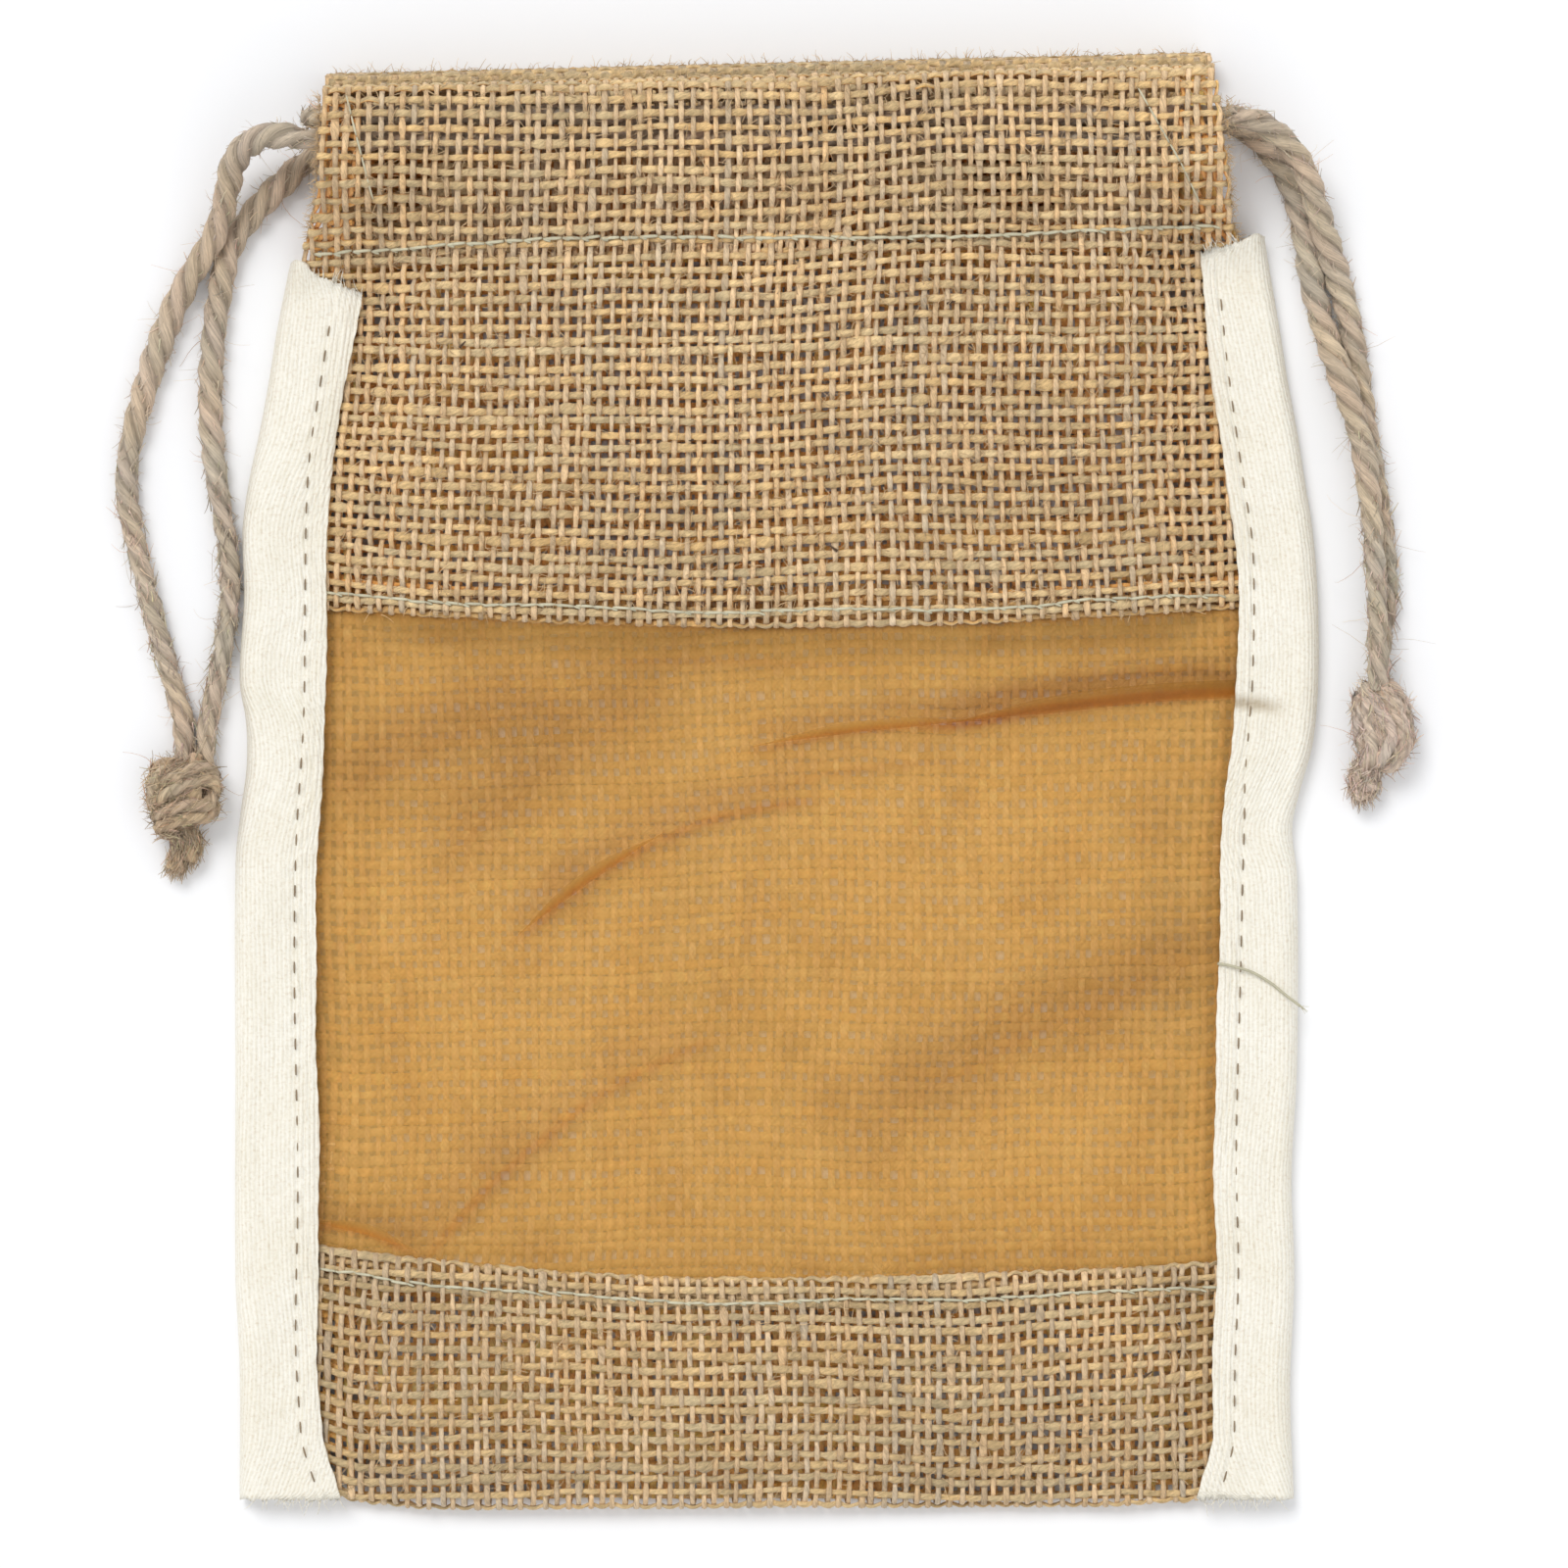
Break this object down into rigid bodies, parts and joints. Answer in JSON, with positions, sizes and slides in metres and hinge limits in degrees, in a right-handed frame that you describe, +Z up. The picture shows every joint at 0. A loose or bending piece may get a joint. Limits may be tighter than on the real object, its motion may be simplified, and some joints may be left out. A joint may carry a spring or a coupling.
{
  "type": "drawstring gift pouch",
  "caption": "Flat-lying jute hessian gift pouch with a sheer front window, cotton-taped side seams and two knotted jute drawstrings in a casing round its mouth.",
  "frame": {"origin": "on the table under the middle of the pouch, without its drawstrings", "axes": "+X across the pouch to its right side, +Y from the bottom fold to the mouth, +Z up through the front"},
  "size_m": [0.1829, 0.2054, 0.0147],
  "materials": {
    "jute_cloth": "open plain-weave hessian, natural tan, matt and hairy",
    "organza": "sheer golden organza, semi-transparent, slight sheen",
    "cotton_tape": "undyed cotton twill tape, matt",
    "jute_twine": "twisted three-ply jute twine, grey-brown, hairy",
    "casing_thread": "pale grey-green polyester sewing thread",
    "binding_thread": "dark brown sewing thread"
  },
  "bodies": {
    "pouch": {"back_panel": "jute_cloth", "front_panel": "jute_cloth", "back_hem": "jute_cloth", "front_hem": "jute_cloth", "window": "organza", "binding_left": "cotton_tape", "binding_right": "cotton_tape", "casing_stitch_front": "casing_thread", "casing_stitch_back": "casing_thread", "casing_end_stitch_left": "casing_thread", "casing_end_stitch_right": "casing_thread", "window_stitch_top": "casing_thread", "window_stitch_bottom": "casing_thread", "binding_stitch_left": "binding_thread", "binding_stitch_right": "binding_thread", "loose_thread": "binding_thread"},
    "drawstring_left": {"drawstring_left": "jute_twine", "knot_left": "jute_twine"},
    "drawstring_right": {"drawstring_right": "jute_twine", "knot_right": "jute_twine"}
  },
  "joints": [
    {"name": "drawstring_left_pull", "type": "slide", "parent": "pouch", "child": "drawstring_left", "axis": [-1, 0, 0], "range_m": [0, 0.036], "deforming": ["front_hem", "back_hem"]},
    {"name": "drawstring_right_pull", "type": "slide", "parent": "pouch", "child": "drawstring_right", "axis": [1, 0, 0], "range_m": [0, 0.036], "deforming": ["front_hem", "back_hem"]}
  ]
}
